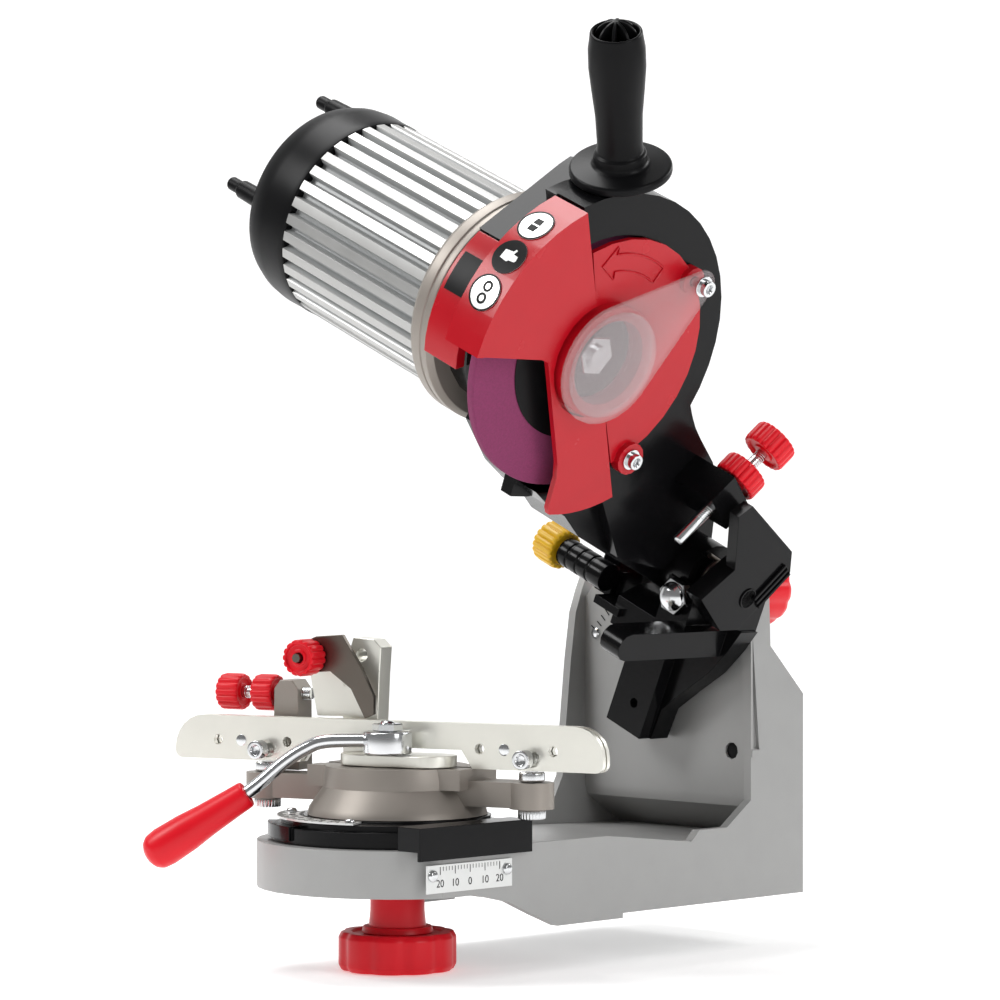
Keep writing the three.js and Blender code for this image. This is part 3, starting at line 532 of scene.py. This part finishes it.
# ---- motor ----
def fin_outline():
    """The shell's cross-section: flat-topped fins with rounded grooves between them."""
    root = MOTOR_RADIUS - MOTOR_FIN_DEPTH
    half = [(0.26, MOTOR_RADIUS), (0.3, MOTOR_RADIUS - 0.8), (0.35, root + 0.5), (0.42, root)]
    rising = [(1 - turn, reach) for turn, reach in reversed(half[2:])]
    lead = [(-turn, reach) for turn, reach in reversed(half[:2])]
    fin = [*lead, (0, MOTOR_RADIUS), *half, (0.5, root), *rising]
    pitch = 2 * math.pi / MOTOR_FINS
    outline = []
    for index in range(MOTOR_FINS):
        for turn, reach in fin:
            angle = (index + turn) * pitch
            outline.append((reach * math.cos(angle), reach * math.sin(angle)))
    return outline


def motor_shell():
    outside = fin_outline()
    count = len(outside)
    inside = arc(0, 0, MOTOR_BORE, 0, 360, count)[:-1]
    points = [(x, y, z) for wall in (outside, inside) for z in (MOTOR_BACK, MOTOR_FRONT) for x, y in wall]
    faces = []
    for i in range(count):
        j = (i + 1) % count
        # The outer wall, the inner wall, and the ring that closes each end.
        for low, high in [(0, count), (2 * count, 3 * count), (0, 2 * count), (count, 3 * count)]:
            faces.append((low + i, low + j, high + j, high + i))
    shape = lying_x((points, faces))
    made = piece("motor_shell_fins", shape, WHEEL, "motor_aluminium", ["motor_shell"], smooth=30)
    made.data.materials.append(GROOVE)
    axis = (WHEEL.to_3x3() @ Vector((1, 0, 0))).normalized()
    for face in made.data.polygons:
        offset = face.center - WHEEL.translation
        reach = (offset - axis * offset.dot(axis)).length / MM
        if reach < MOTOR_RADIUS - 1.4:
            face.material_index = 1


def motor_flange():
    rim = [(57, -46.3), (60, -49), (60, -60), (58, -63)]
    groove = [(60, -52.6), (59.3, -53), (59.3, -53.8), (60, -54.2)]
    profile = [(9.6, -46.3), *rim[:2], *groove, *rim[2:], (9.6, -63), (9.6, -46.3)]
    piece("motor_flange_ring", lying_x(revolved(profile, 128)), WHEEL, "raw_casting", ["motor_flange"])


def motor_cap():
    back = [(0, -214), (30, -213), (45, -210), (52, -204), (54.4, -197)]
    side = [(55.2, -190), (54.8, -180), (55, -176)]
    lip = [(54.6, -171.6), (50, -171.6), (47, -173)]
    inside = [(48, -191), (42, -200), (28, -205), (0, -206)]
    parts = [revolved([*back, *side, *lip, *inside], 128, soften=1.2)]
    post = [(0, -229), (3.1, -229), (3.6, -228), (3.6, -221), (4.9, -219), (5.2, -205), (6, -190), (0, -190)]
    for angle in (2, 92, 182, 272):
        turn = math.radians(angle)
        spot = (CAP_POST_CIRCLE * math.cos(turn), CAP_POST_CIRCLE * math.sin(turn), 0)
        parts.append(shifted(revolved(post, 28), *spot))
    piece("motor_cap_shell", lying_x(joined(*parts)), WHEEL, "black_plastic", ["motor_cap"])


# ---- wheel and guards ----
def grinding_wheel():
    shoulder = WHEEL_RADIUS - 0.6
    edge = [(shoulder, -WHEEL_HALF), (WHEEL_RADIUS, -1.6), (WHEEL_RADIUS, 1.6), (shoulder, WHEEL_HALF)]
    profile = [(10.3, -WHEEL_HALF), *edge, (10.3, WHEEL_HALF), (10.3, -WHEEL_HALF)]
    piece("wheel_grit", lying_x(revolved(profile, 160)), WHEEL, "abrasive", ["grinding_wheel"])
    label = [(6.2, 2.8), (46.3, 2.8), (46.3, 3.1), (24, 3.1), (23, 4), (6.2, 4), (6.2, 2.8)]
    piece("wheel_label", lying_x(revolved(label, 96, soften=0.1)), WHEEL, "black_plastic", ["wheel_flange"])
    nut = hexagon(19, WHEEL_HALF + 1.8, WHEEL_HALF + 8)
    piece("wheel_nut_hex", lying_x(nut), WHEEL, "bright_steel", ["wheel_nut"])


def lens():
    """The clear cover: a drop-shaped plate with a low dome, on the side cover's hub."""
    aim = math.degrees(math.atan2(UPPER_SCREW[1], UPPER_SCREW[0]))
    tail = arc(*UPPER_SCREW, 8, aim - 62, aim + 62, 14)
    outline = arc(0, 0, 31.5, aim + 66, aim + 294, 72) + tail
    plate = prism(outline, 19.5, 21.7, edge=0.35)
    top = [(27.6, 21.6), (27.6, 23.2), (26.4, 24.3), (20, 25.9), (12, 27), (0, 27.4)]
    under = [(0, 25.8), (12, 25.4), (20, 24.4), (25, 22.8), (25, 21.6), (27.6, 21.6)]
    dome = revolved(top + under, 96, soften=0.5)
    piece("lens_moulding", lying_x(joined(plate, dome)), WHEEL, "clear_plastic", ["lens_cover"])
    hub = ring(22, 29, 9.6, 19.3, 96, soften=0.6)
    piece("lens_hub", lying_x(hub), WHEEL, "red_paint", (), "head")


def cover_screws():
    for name, spot, foot in [("upper", UPPER_SCREW, 22), ("lower", LOWER_SCREW, 15.3)]:
        screw = joined(socket_head(4, 4.6, 10), ring(2.9, 5.4, -0.1, 0.7, 40, soften=0.2))
        placed = lying_x(screw, foot, *spot)
        piece(f"cover_screw_{name}_head", placed, WHEEL, "bright_steel", [f"cover_screw_{name}"])


def embossed_arrow():
    """The turning arrow, a raised outline on the side cover's upper half."""
    reach = 50
    outer = arc(0, 0, reach + 4.5, 62, 100, 12)
    head = [(reach * math.cos(math.radians(110)), reach * math.sin(math.radians(110)))]
    flare_out = arc(0, 0, reach + 8.5, 100, 100.1, 1)[:1]
    flare_in = arc(0, 0, reach - 8.5, 100, 100.1, 1)[:1]
    inner = arc(0, 0, reach - 4.5, 100, 62, 12)
    outline = outer + flare_out + head + flare_in + inner
    path = [(12.2, y, z) for y, z in outline + outline[:1]]
    piece("turning_arrow", tube(path, 0.55, 8), WHEEL, "red_paint", (), "head")


# The stickers are a pale disc, a dark ring and a plain mark, on the guard band's outer face.
def palm():
    fingers = [(5, -1.6), (5.2, -0.6), (5.6, 0.6), (5, 1.6)]
    thumb = [(0.6, -3), (1.4, -4.6), (2.4, -4.2), (1.8, -1.8)]
    return prism([(-4.4, -2.4), *thumb, *fingers, (1.4, 2), (0.6, 3), (-4.4, 2.4)], 0.4, 0.6, edge=0.02)


def dark_ground():
    return [revolved([(0, 0.2), (5, 0.2), (8.6, 0.2), (8.6, 0.4), (5, 0.4), (0, 0.4)], 64, soften=0)]


def goggles():
    return [shifted(ring(1.6, 2.9, 0.2, 0.42, 32, soften=0), 0, side * 3.2, 0) for side in (-1, 1)]


def book():
    pages = []
    for side in (-1, 1):
        page = [(-2.4, side * 0.5), (2.6, side * 0.5), (2.2, side * 4), (-2.2, side * 4)]
        pages.append(prism(page, 0.2, 0.42, edge=0.02))
    return pages


STICKER_MARK = {"book": book, "hand": dark_ground, "goggles": goggles}


def sticker(name, angle, along_axis, mark):
    turn = math.radians(angle)
    across = Vector((1, 0, 0))
    up = Vector((0, -math.sin(turn), math.cos(turn)))
    outward = Vector((0, math.cos(turn), math.sin(turn)))
    spot = (Vector((along_axis, 0, 0)) + outward * BAND_RADIUS) * MM
    frame_turn = Matrix((across, up, outward)).transposed().to_4x4()
    place = WHEEL @ Matrix.Translation(spot) @ frame_turn

    def bent(shape):
        """The flat shape, laid on the band's curve just above its surface."""
        points, faces = shape
        return [(x, y, z - (y * y) / (2 * BAND_RADIUS) + 0.1) for x, y, z in points], faces

    ground = [(0, 0.02), (9.4, 0.02), (9.4, 0.25), (8, 0.25), (5, 0.25), (2.5, 0.25), (0, 0.25)]
    piece(name + "_ground", bent(revolved(ground, 64, soften=0)), place, "scale_plate", (), "head")
    ink = joined(ring(8.5, 9.4, 0.2, 0.42, 64, soften=0), *STICKER_MARK[mark]())
    piece(name + "_ink", bent(ink), place, "black_plastic", (), "head")
    if mark == "hand":
        piece(name + "_palm", bent(palm()), place, "scale_plate", (), "head")


# ---- handle ----
def handle():
    """The grip with its disc foot, and a star of eight ribs in its open end."""
    foot = [(0, 6.2), (24.6, 6.2), (25.2, 7), (25.2, 9.6), (24.4, 10.6), (14.2, 11.6)]
    neck = [(13.1, 13), (12.9, 17.2), (11.2, 18.4)]
    grip = [(11.1, 24), (11.5, 38), (12.9, 52), (13.9, 64), (13.8, 74), (13, 79)]
    mouth = [(12.6, 82.4), (11.9, 83), (10.9, 82.4), (10.7, 77), (0, 74.5)]
    parts = [revolved([*foot, *neck, *grip, *mouth], 96, soften=0.7)]
    blade = arc(0, 77, 11.2, 0, 180, 24) + [(-11.2, 73), (11.2, 73)]
    rib = lying_y(prism(blade, -0.75, 0.75, edge=0.3))
    for turn in (40, 85, 130, 175):
        parts.append(moved(rib, Matrix.Rotation(math.radians(turn), 4, "Z")))
    direction = (0, -math.sin(HANDLE_LEAN), math.cos(HANDLE_LEAN))
    shape = aimed(joined(*parts), HANDLE_FOOT, direction)
    piece("handle_moulding", shape, WHEEL, "black_plastic", ["handle_grip"])


# ---- tilting bracket ----
def springs():
    wire = 1.35
    for name, start, end in [("left", -37.3, -23.2), ("right", 23.2, 37.3)]:
        winding = coil(9.3, wire, start + wire, end - wire, 4.6)
        # The leg leaves the end of the winding that is nearer the bracket's middle.
        inner = end - wire if name == "left" else start + wire
        leg = tube([(0, 9.3, inner), (-9, 13, inner)], wire, 10)
        shape = lying_x(joined(winding, leg), *HINGE)
        piece(f"lift_spring_{name}_wire", shape, TILT, "spring_steel", [f"lift_spring_{name}"])


def adjuster():
    barrel = [(0, -69), (6.6, -69), (7.8, -68.2)]
    for middle in (-61, -53, -45):
        barrel += [(7.8, middle - 1), (7.2, middle - 0.6), (7.2, middle + 0.6), (7.8, middle + 1)]
    barrel += [(7.8, -34.3), (0, -34.3)]
    sleeve = lying_x(revolved(barrel, 64, soften=0.3), *ADJUSTER)
    piece("adjuster_sleeve", sleeve, TILT, "black_paint", ["adjuster_barrel"])
    head = shifted(knob(11.5, 14.5, 18, hole=0.01, depth=0.09), 0, 0, -84.2)
    grip = lying_x(joined(head, rod(3, -84, -69.3)), *ADJUSTER)
    piece("adjuster_knob_moulding", grip, TILT, "yellow_plastic", ["adjuster_knob"])


def bracket_hardware():
    crown = [(0, 5), (7.9, 5), (7.4, 6.6), (5.6, 8.4), (3, 9.4), (0, 9.6)]
    head = joined(hexagon(17, 0, 5.2), revolved(crown, 64, soften=0.5))
    bolt = aimed(head, BRACKET_BOLT, (0, -1, 0))
    piece("bracket_bolt_head", bolt, TILT, "bright_steel", ["bracket_bolt"])
    neck = revolved([(5.3, 0), (11.4, 0), (10, 21), (10, 24), (5.3, 24), (5.3, 0)], 64)
    wide = shifted(knob(20, 21, 10, hole=5.3, depth=0.045, hub=0.4), 0, 0, 23)
    lock = aimed(joined(neck, wide), TILT_STUD, (0, 1, 0))
    piece("tilt_lock_knob_moulding", lock, TILT, "red_plastic", ["tilt_lock_knob"])
    plug = revolved([(0, 0), (5.6, 0), (5.6, 1.1), (4.9, 1.1), (4.6, 0.3), (0, 0.3)], 48, soften=0.2)
    piece("hinge_plug", lying_x(plug, HINGE_END, HINGE[1], HINGE[2]), TILT, "black_paint", (), "bracket")


def ear_ridges():
    """Three parallel ridges on the outer face of the bracket's right ear."""
    lean = Matrix.Rotation(math.radians(-40.2), 4, "Z")
    for index in range(3):
        inset = 1.6 + index * 3.3
        ridge = prism([(-1, 16), (1, 16), (1, 41), (-1, 41)], 0, 1.8, edge=0.5)
        bar = moved(shifted(ridge, -inset, 0, 0), lean)
        piece(f"ear_ridge_{index}", lying_x(bar, 49.9, 7, 66), TILT, "black_paint", (), "bracket")


# ---- depth stop on the arm ----
def depth_stop():
    axis = Vector((0, math.cos(STOP_RISE), math.sin(STOP_RISE)))
    tip = Vector(STOP_TIP)
    shank = revolved([(0, 0), (2.2, 0), (3, 0.8), (3, 66), (0, 66)], 32)
    thread = coil(2.95, 0.28, 16, 64, 42)
    screw = aimed(joined(shank, thread), tip, axis)
    piece("depth_stop_rod", screw, WHEEL, "bright_steel", (), "depth_stop_screw")
    grip = aimed(knob(12.4, 12, 20, hole=0.01, depth=0.06), tip + axis * 65, axis)
    piece("depth_stop_knob", grip, WHEEL, "red_plastic", ["depth_stop_screw"])
    lock = aimed(knob(12.4, 11, 20, hole=3.4, depth=0.06), tip + axis * 43, axis)
    piece("depth_stop_lock_ring", lock, WHEEL, "red_plastic", ["depth_stop_lock_knob"])


# ---- vise ----
def lever():
    hub = ring(4.2, 12.1, 83, 94, 64, soften=1.0)
    route = smooth_path([(6, 0, 89.4), (30, 0, 89), (41, 0, 85.2), (52, 0, 78), (69, 0, 64), (100, 0, 43.8)])
    piece("cam_lever_rod", joined(hub, tube(route, 3.4, 24)), LEVER, "bright_steel", ["cam_lever"])
    stud = revolved([(0, 77), (3.9, 77), (3.9, 98), (2.6, 99.4), (0, 99.6)], 40)
    piece("cam_nut_hex", joined(stud, hexagon(13, 94.3, 98)), LEVER, "bright_steel", ["cam_nut"])
    start = Vector((69.6, 0, 63))
    end = Vector((118, 0, 32))
    length = (end - start).length
    neck = [(4, 0), (6.4, 0), (6.9, 1.4), (7.2, 8), (8.2, 24)]
    belly = [(9.4, length * 0.62), (9.9, length * 0.85), (9.2, length - 3)]
    tip = [(7, length), (3.6, length + 1.7), (0, length + 2)]
    bore = [(0, 40), (4, 40), (4, 0)]
    grip = aimed(revolved([*neck, *belly, *tip, *bore], 64, soften=1.2), start, end - start)
    piece("lever_grip_moulding", grip, LEVER, "red_plastic", ["lever_grip"])


def vise_lock_knob():
    rim = shifted(knob(29.4, 19, 10, hole=6.4, depth=0.05, hub=0.5), 0, 0, -25)
    collar = revolved([(6.4, -6.5), (18, -6.5), (17, -3.4), (6.4, -3), (6.4, -6.5)], 64)
    neck = revolved([(6.4, -4), (14.4, -4), (13.6, 4), (13.4, 22), (6.4, 22), (6.4, -4)], 64)
    piece("vise_lock_knob_moulding", joined(rim, collar, neck), NOSE, "red_plastic", ["vise_lock_knob"])


def chain_stop():
    """The stop screw with its knob and lock ring along the rails, and the pawl's knob in front of it."""
    shank = revolved([(0, -112), (2.6, -112), (3, -111.4), (3, -57), (0, -57)], 32)
    thread = coil(2.95, 0.28, -96, -58, 36)
    piece("stop_rod", lying_x(joined(shank, thread), *STOP_AXIS), VISE, "bright_steel", (), "stop_screw")
    grips = [
        ("stop_knob", -109.5, 12.5, 3, "stop_screw"),
        ("stop_lock_ring", -88.9, 11.7, 3.4, "stop_lock_knob"),
    ]
    for name, start, height, hole, node in grips:
        grip = shifted(knob(9.3, height, 15, hole=hole, depth=0.09), 0, 0, start)
        piece(name, lying_x(grip, *STOP_AXIS), VISE, "red_plastic", [node])
    pawl_grip = aimed(knob(9.3, 13, 15, hole=2.6, depth=0.09), PAWL_PIVOT, (0, -1, 0))
    piece("pawl_knob_moulding", pawl_grip, VISE, "red_plastic", ["pawl_knob"])


def lug_screws():
    """On each side of the vise, a level screw with a plain collar and a knurled foot, then a rail screw."""
    side_of_collar = [(5.6, 70.7), (6.4, 71.4), (6.4, 75), (5.6, 75.6)]
    collar = revolved([(3, 70.7), *side_of_collar, (3, 75.6), (3, 70.7)], 48)
    side_of_foot = [(6.2, 52.4), (6.9, 53), (6.9, 56.6), (6.2, 57.2)]
    foot_profile = [(2.6, 52.4), *side_of_foot, (2.6, 57.2), (2.6, 52.4)]
    foot = revolved(foot_profile, 120, soften=0.3, ripple=flutes(24, 0.05, 6.9))
    screw = joined(rod(3, 52.4, 75.6), collar, foot)
    for name, x in [("left", -LUG_REACH), ("right", LUG_REACH)]:
        placed = shifted(screw, x, 0, 0)
        piece(f"level_screw_{name}_turned", placed, VISE, "bright_steel", [f"level_screw_{name}"])
        head = aimed(socket_head(4.6, 6.5, 9), (x, -6.2, 82), (0, -1, 0))
        piece(f"rail_screw_{name}_head", head, VISE, "bright_steel", [f"rail_screw_{name}"])


def rail_rivets():
    for name, p in [("left", -88.3), ("right", 61.7)]:
        head = button(2.9, [(2.9, 0.25), (2.2, 0.45)], 0.5, 32, soften=0.1)
        placed = aimed(head, (p, RAIL_FACE, 86), (0, -1, 0))
        piece(f"rail_rivet_{name}", placed, VISE, "bright_steel", (), "vise")


# ---- small details on the castings ----
def web_details():
    """Dark plugs in the web's two holes, and a rivet and four scale marks near its top left."""
    for name, x in [("left", -48.5), ("right", 48.5)]:
        plug = lying_y(rod(4.4, 30.4, 33.6), x, 0, 76)
        piece(f"web_hole_plug_{name}", plug, BASE, "black_plastic", (), "base")
    rivet = aimed(button(3.1, [(3, 0.8), (2.2, 1.6)], 1.9, 32), (-50, 29.2, 134.7), (0, -1, 0))
    piece("tilt_scale_rivet", rivet, BASE, "bright_steel", (), "base")
    reach = 60
    for index in range(4):
        angle = math.radians(132 + index * 4)
        length = 4 if index % 3 else 6
        mark = prism([(-0.25, 0), (0.25, 0), (0.25, length), (-0.25, length)], 0, 0.25, edge=0.03)
        turned = moved(mark, Matrix.Rotation(angle - math.pi / 2, 4, "Z"))
        spot = (reach * math.cos(angle), 28.9, 100 + reach * math.sin(angle))
        piece(f"tilt_scale_mark_{index}", lying_y(turned, *spot), BASE, "black_paint", (), "base")


def label_window():
    """A blank dark label, bent around the rear guard."""
    steps = 12
    section = [(-40, 66.15), (-21, 66.15), (-21, 66.5), (-40, 66.5)]
    points = []
    for k in range(steps + 1):
        angle = math.radians(150 + 18 * k / steps)
        points += [(a, reach * math.cos(angle), reach * math.sin(angle)) for a, reach in section]
    faces = [(3, 2, 1, 0), tuple(4 * steps + i for i in range(4))]
    for k in range(steps):
        for i in range(4):
            j = (i + 1) % 4
            faces.append((4 * k + i, 4 * k + j, 4 * k + 4 + j, 4 * k + 4 + i))
    piece("guard_label_window", (points, faces), WHEEL, "black_plastic", (), "head")


# ---- scales ----
def slide_scale():
    """Ticks every 2 mm, a longer one every 10 mm, and the numbers 20 to 0 to 20 on the base's right side."""
    for index in range(-10, 11):
        y = -177.5 + index * 2
        long = index % 5 == 0
        half = 0.18 if long else 0.13
        foot = 28.8 if long else 30.6
        outline = [(y - half, foot), (y + half, foot), (y + half, 32.6), (y - half, 32.6)]
        mark = prism(outline, 0, 0.12, edge=0.02)
        piece(f"slide_tick_{index + 10:02d}", lying_x(mark, SCALE_FACE), BASE, "black_paint", (), "base")
        if long:
            stand = Matrix.Translation((SCALE_FACE * MM, y * MM, 0.0244)) @ ALONG_X
            name = f"slide_number_{index + 10:02d}"
            lettering(name, str(abs(index * 2)), 5.2, stand, "black_paint", "base", 0.08)
    for name, y in [("front", -202.5), ("rear", -152.5)]:
        head = lying_x(button(3, [(2.8, 0.8), (2, 1.5)], 1.8, 40), SCALE_FACE + 0.1, y, 28.5)
        piece(f"scale_screw_{name}_head", head, BASE, "bright_steel", [f"scale_screw_{name}"])


def angle_scale():
    """A tick every 5 degrees, and a number every 10, to 40 either side of zero on the saddle's plate."""
    for index in range(-8, 9):
        turn = Matrix.Rotation(math.radians(252 + index * 5), 4, "Z")
        numbered = index % 2 == 0
        inner = 55.4 if numbered else 57
        outline = [(inner, -0.2), (59.4, -0.2), (59.4, 0.2), (inner, 0.2)]
        mark = moved(prism(outline, SADDLE_TOP, SADDLE_TOP + 0.15, edge=0.02), turn)
        piece(f"angle_tick_{index + 8:02d}", mark, NOSE, "black_paint", (), "saddle")
        if numbered:
            upright = Matrix.Rotation(math.radians(90), 4, "Z")
            stand = NOSE @ turn @ Matrix.Translation((0.0525, 0, SADDLE_TOP * MM)) @ upright
            name = f"angle_number_{index + 8:02d}"
            lettering(name, str(abs(index * 5)), 4.6, stand, "black_paint", "saddle", 0.1)
    for name, angle in [("left", 213), ("right", 292)]:
        turn = math.radians(angle)
        spot = (54.5 * math.cos(turn), 54.5 * math.sin(turn), 52.5)
        head = shifted(button(2.8, [(2.4, 1), (1.6, 1.5)], 1.6, 40), *spot)
        piece(f"angle_scale_screw_{name}_head", head, NOSE, "bright_steel", [f"angle_scale_screw_{name}"])


# ---- stage ----
def stage_paint():
    """A pale matt floor that glows a little, so that it reads as a plain white sweep."""
    made = surface("stage_pale", (0.86, 0.86, 0.86), 0.9, grain=0.01, mottle=0.01)
    shader = made.node_tree.nodes["Principled BSDF"]
    shader.inputs["Emission Color"].default_value = (1, 1, 1, 1)
    shader.inputs["Emission Strength"].default_value = 0.4
    return made


def stage():
    """A floor that curves up into a back wall, seen from the camera's side."""
    away = Vector((-0.712, 0.702, 0))
    across = Vector((0.702, 0.712, 0))
    bend = 0.8
    bend_start = 1.6
    sweep = [(-4, FLOOR), (bend_start, FLOOR)]
    for i in range(1, 13):
        turn = i * math.pi / 24
        sweep.append((bend_start + bend * math.sin(turn), FLOOR + bend - bend * math.cos(turn)))
    sweep.append((bend_start + bend, 4.5))
    points = [tuple(away * d + across * side + Vector((0, 0, z))) for side in (-5, 5) for d, z in sweep]
    count = len(sweep)
    faces = [(i, i + 1, count + i + 1, count + i) for i in range(count - 1)]
    mesh = bpy.data.meshes.new("stage_sweep")
    mesh.from_pydata(points, [], faces)
    for face in mesh.polygons:
        face.use_smooth = True
    mesh.materials.append(stage_paint())
    floor = bpy.data.objects.new("stage_sweep", mesh)
    bpy.context.scene.collection.objects.link(floor)


def area_light(name, spot, target, size, power):
    lamp = bpy.data.lights.new(name, "AREA")
    lamp.shape = "RECTANGLE"
    lamp.size, lamp.size_y = size
    lamp.energy = power
    holder = bpy.data.objects.new(name, lamp)
    holder.location = spot
    holder.rotation_euler = (Vector(target) - Vector(spot)).to_track_quat("-Z", "Y").to_euler()
    bpy.context.scene.collection.objects.link(holder)


def lights():
    middle = (0, -0.08, 0.2)
    area_light("key", (-0.9, -1.5, 1.5), middle, (0.7, 0.7), 20)
    area_light("fill", (1.9, -0.1, 0.8), middle, (0.6, 1.1), 11)
    area_light("top", (-0.42, -0.15, 1.6), middle, (0.9, 0.6), 15)
    area_light("back", (0.6, 1.3, 1.0), middle, (1.2, 0.4), 10)
    world = bpy.data.worlds.new("studio")
    world.use_nodes = True
    background = world.node_tree.nodes["Background"]
    background.inputs["Color"].default_value = (1, 1, 1, 1)
    background.inputs["Strength"].default_value = 0.24
    bpy.context.scene.world = world
    bpy.context.scene.view_settings.view_transform = "Standard"


def camera():
    lens_data = bpy.data.cameras.new("camera")
    lens_data.lens = 138.24
    lens_data.sensor_width = 36
    lens_data.shift_y = -0.028
    lens_data.clip_end = 50
    holder = bpy.data.objects.new("camera", lens_data)
    holder.location = (1.396, -1.470, 0.222)
    holder.rotation_euler = (math.radians(90), 0, math.radians(45.4))
    bpy.context.scene.collection.objects.link(holder)
    bpy.context.scene.camera = holder


camera()
lights()
stage()
dress_nodes()
motor_shell()
motor_flange()
motor_cap()
grinding_wheel()
lens()
cover_screws()
embossed_arrow()
sticker("sticker_top", 133, 0, "book")
sticker("sticker_middle", 147, 2, "hand")
sticker("sticker_low", 161, 2, "goggles")
handle()
springs()
adjuster()
bracket_hardware()
depth_stop()
lever()
vise_lock_knob()
chain_stop()
lug_screws()
rail_rivets()
web_details()
ear_ridges()
label_window()
slide_scale()
angle_scale()
